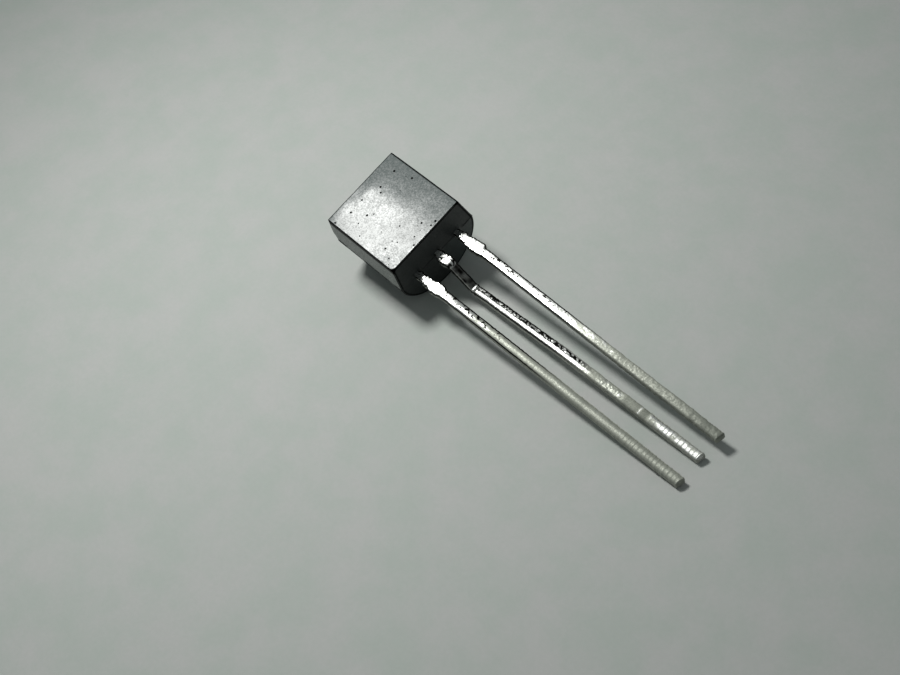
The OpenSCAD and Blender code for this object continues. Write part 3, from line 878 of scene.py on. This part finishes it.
def base_lead(material):
    line = softened([[-ROOT_INSET - POST_LENGTH, -LEAD_DEPTH], [DIP_START, -LEAD_DEPTH],
                     [DIP_START + DIP_RUN, -LEAD_DEPTH - DIP_DEPTH],
                     [DIP_START + DIP_RUN + DIP_RECOVERY, -LEAD_DEPTH - DIP_LEFT_OVER],
                     [base_tip[0], base_tip[2]]], (0.05, BEND_SETBACK, BEND_SETBACK))
    edges = edge_table(
        [(-ROOT_INSET, HALF, HALF), (0.1, 0.16, 0.16), (0.3, 0.19, 0.2), (0.5, 0.27, 0.22),
         (0.75, 0.26, 0.27), (0.95, 0.25, 0.23), (1.1, 0.21, 0.22), (1.9, 0.215, 0.215),
         (2.2, HALF, HALF), (15.3, HALF, HALF)],
        [(-ROOT_INSET - POST_LENGTH, -POST_WIDTH / 2, POST_WIDTH / 2),
         (-ROOT_INSET - 0.004, -POST_WIDTH / 2, POST_WIDTH / 2)],
        0.0, 0.0)
    return lead(
        "base_pin_tinned", "base_lead", line, edges, seed=61, material=material,
        crown=[(0, 0.012), (2.2, 0.03), (3, 0.04), (9, 0.03), (12, 0.05), (12.6, 0.08), (13.6, 0.06),
               (15, 0.045)],
        twist=[(0, 0), (1.9, 0), (2.6, -8), (8.8, -10), (9.4, -8), (12.1, -7), (12.4, -8), (15, -3)],
        ragged=[(0, 0.06), (1.0, 0.05), (1.3, 0.015), (9, 0.012), (15.2, 0.012)],
        lumpy=[(0, 0.012), (2, 0.008), (8.6, 0.006), (9.3, 0.008), (9.7, 0.03), (10.9, 0.028),
               (11.2, 0.006), (12.3, 0.006), (15, 0.006)],
        ripple=[(2, 0.0006), (8, 0.001), (12.1, 0.0005), (12.3, 0.009), (15, 0.009)],
        aged=[(0, 0.0), (7, 0.1), (8.8, 0.35), (9.5, 1.0), (9.8, 0.78), (10.8, 0.82), (11.1, 1.15),
              (11.8, 1.15), (11.88, 0.1), (11.96, 1.15), (12.25, 1.15), (12.4, 0.42), (14.2, 0.46),
              (14.6, 0.2), (15, 0.1)],
        matt=[(0, 0.38), (0.9, 0.34), (1.9, 0.26), (2.2, 0.34), (8.8, 0.36), (9.5, 0.5), (9.8, 0.29),
              (10.8, 0.3), (11.1, 0.62), (12.2, 0.6), (12.5, 0.46), (15, 0.46)],
        # dark from 1.05 to 1.9 on the steep dip slope, a painted dark reflection, and from 2.16 to 2.22
        # past the lip, a painted shade
        dirt_and_painted_shade=[(1.0, 0), (1.05, 0.95), (1.85, 0.92), (1.89, 0.92), (1.92, 0), (2.12, 0), (2.16, 1),
                (2.22, 1), (2.26, 0)],
        groove=[(2.2, 0), (2.3, 0.03), (8.0, 0.03), (8.9, 0.012), (9.5, 0)],
        specks=[(0.3, 0.6), (0.45, 0.55), (0.65, 0.8), (0.98, 0.95), (1.05, 0)], lip=0.045, pitch=0.2,
        end_dirt=0.15)


def emitter_lead(material):
    edges = edge_table(
        [(EMITTER_ROOT + POST_LENGTH / 2 + 0.004, HALF, HALF), (0.1, 0.16, 0.16), (0.3, 0.19, 0.19),
         (0.6, 0.22, 0.2), (0.84, 0.22, 0.21), (0.93, 0.28, 0.26), (1.3, 0.28, 0.29),
         (1.72, 0.27, 0.3), (1.8, 0.24, 0.22), (1.95, HALF, HALF), (15.3, HALF, HALF)],
        [(EMITTER_ROOT - POST_LENGTH, EMITTER_POST_SIDE, LEAD_PITCH + HALF),
         (EMITTER_ROOT + POST_LENGTH / 2, EMITTER_POST_SIDE, LEAD_PITCH + HALF)],
        emitter_tip[1], LEAD_PITCH)
    return lead(
        "emitter_pin_tinned", "emitter_lead", side_line(EMITTER_ROOT - POST_LENGTH, emitter_tip),
        edges, seed=81, material=material,
        crown=[(0, 0.02), (2, 0.016), (8, 0.018), (9.5, 0.03), (15, 0.04)],
        twist=[(0, 0), (2, -2), (8, -3), (9.3, -5), (15, -6)],
        ragged=[(0, 0.06), (1.7, 0.05), (2.1, 0.012), (9, 0.008), (15.2, 0.016)],
        lumpy=[(0, 0.012), (2, 0.006), (7.5, 0.006), (8.2, 0.012), (9.6, 0.02), (13, 0.022), (15, 0.022)],
        ripple=[(2, 0), (8, 0.001), (9, 0.003), (15, 0.005)],
        aged=[(0, 0.0), (5.5, 0.1), (7.0, 0.3), (8.0, 0.5), (9.0, 0.75), (10.2, 0.9), (12.5, 1.0),
              (13.5, 1.2), (15, 1.3)],
        matt=[(0, 0.24), (2, 0.2), (7, 0.24), (8.6, 0.38), (9.6, 0.4), (13, 0.44), (15, 0.46)],
        specks=[(0.3, 0.5), (0.5, 0.3), (1.6, 0.35), (2.2, 0.76), (4.6, 0.74), (7, 0.6), (8, 0)],
        pitch=0.24, end_dirt=0.05)


# ---- camera, light and the surface it lies on; these come first ----


def light_grey_card():
    """The pale grey card that the part lies on, with faint clouding and a fine tooth."""
    material, f, shader, place = new_finish("light_grey_card")
    grain = use(f, moulded_grain, {"Place": place, "Grains per mm": 5.0, "Specks per mm": 0.09,
                                   "Speck size": 0.015})
    sheet = f.add("ShaderNodeMapping", {"Vector": place, "Scale": (1000,) * 3}).outputs[0]
    wide = f.span(f.noise(sheet, 0.35, 5.0, 0.65), 0.3, 0.7)
    tone = f.blend(wide, (0.414, 0.444, 0.417, 1), (0.458, 0.458, 0.449, 1))
    tone = f.blend(f.math("MULTIPLY", grain["Mottle"], 0.12), tone, (0.34, 0.37, 0.34, 1))
    tone = f.blend(f.math("MULTIPLY", grain["Specks"], 0.4), tone, (0.2, 0.2, 0.19, 1))
    f.tree.links.new(tone, shader.inputs["Base Color"])
    f.tree.links.new(f.math("MULTIPLY_ADD", grain["Cloud"], 0.1, 0.8), shader.inputs["Roughness"])
    f.tree.links.new(bump(f, grain["Height"], 0.004), shader.inputs["Normal"])
    shader.inputs["Specular IOR Level"].default_value = 0.15
    return material


def resting_surface():
    """A flat sheet under the part, a grid of squares at the height of its lowest point."""
    reach, steps = 320.0, 17
    side = np.linspace(-reach, reach, steps) * MM
    x, y = np.meshgrid(side, side, indexing="ij")
    points = np.stack([x, y, np.full_like(x, cad_box[0].z)], -1).reshape(-1, 3)
    i, j = (a.reshape(-1) for a in np.meshgrid(range(steps - 1), range(steps - 1), indexing="ij"))
    first = i * steps + j
    quads = np.stack([first, first + steps, first + steps + 1, first + 1], -1)
    mesh = bpy.data.meshes.new("resting_surface")
    mesh.from_pydata(points.tolist(), [], quads.tolist())
    mesh.materials.append(light_grey_card())
    sheet = bpy.data.objects.new("resting_surface", mesh)
    bpy.context.scene.collection.objects.link(sheet)


def camera_and_light():
    camera = bpy.data.cameras.new("view")
    camera.sensor_width = 36.0
    camera.lens = 50.0
    camera.clip_start = 0.001
    camera.clip_end = 5.0
    stand = bpy.data.objects.new("view", camera)
    stand.location = np.array([28.049, -18.701, 42.135]) * MM
    stand.rotation_euler = [math.radians(a) for a in (38.4229, 11.6913, 47.2043)]
    bpy.context.scene.collection.objects.link(stand)
    bpy.context.scene.camera = stand

    lamp = bpy.data.lights.new("near_lamp", "AREA")
    lamp.shape = "DISK"
    lamp.size = 12.0 * MM
    lamp.energy = 0.0226
    lamp.color = (0.985, 1.0, 0.975)
    near = bpy.data.objects.new("near_lamp", lamp)
    place = np.array([-20.7, -4.0, 48.1])
    near.location = place * MM
    aim = np.array([-4.0, 0.5, 0.0]) - place
    flat = math.hypot(aim[0], aim[1])
    near.rotation_euler = (math.atan2(flat, -aim[2]), 0.0, math.atan2(aim[1], aim[0]) - math.pi / 2)
    near.visible_camera = False
    bpy.context.scene.collection.objects.link(near)

    world = bpy.data.worlds.new("room")
    world.use_nodes = True
    room = Finish(world.node_tree)
    back = world.node_tree.nodes["Background"]
    look = room.add("ShaderNodeTexCoord").outputs["Generated"]
    height = room.add("ShaderNodeSeparateXYZ", {0: look}).outputs[2]
    glow = room.blend(room.span(height, 0.0, 0.7), (0.085, 0.092, 0.092, 1), (0.205, 0.227, 0.225, 1))
    world.node_tree.links.new(glow, back.inputs["Color"])
    back.inputs["Strength"].default_value = 1.0
    bpy.context.scene.world = world
    bpy.context.scene.view_settings.view_transform = "Standard"


camera_and_light()
resting_surface()

# ---- the part ----

epoxy = moulded_epoxy()
tin = tinned_metal()

shell = case_shell(epoxy)
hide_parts("epoxy_case")
flash = parting_flash(flash_resin())
for piece in (shell, flash, collector_lead(tin), base_lead(tin), emitter_lead(tin)):
    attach(piece, "root")

for node, finish in (("silicon_die", polished_silicon()), ("die_attach", attach_layer()),
                     ("base_wire", drawn_gold()), ("emitter_wire", bpy.data.materials["drawn_gold"])):
    frame["nodes"][node].material_slots[0].material = finish
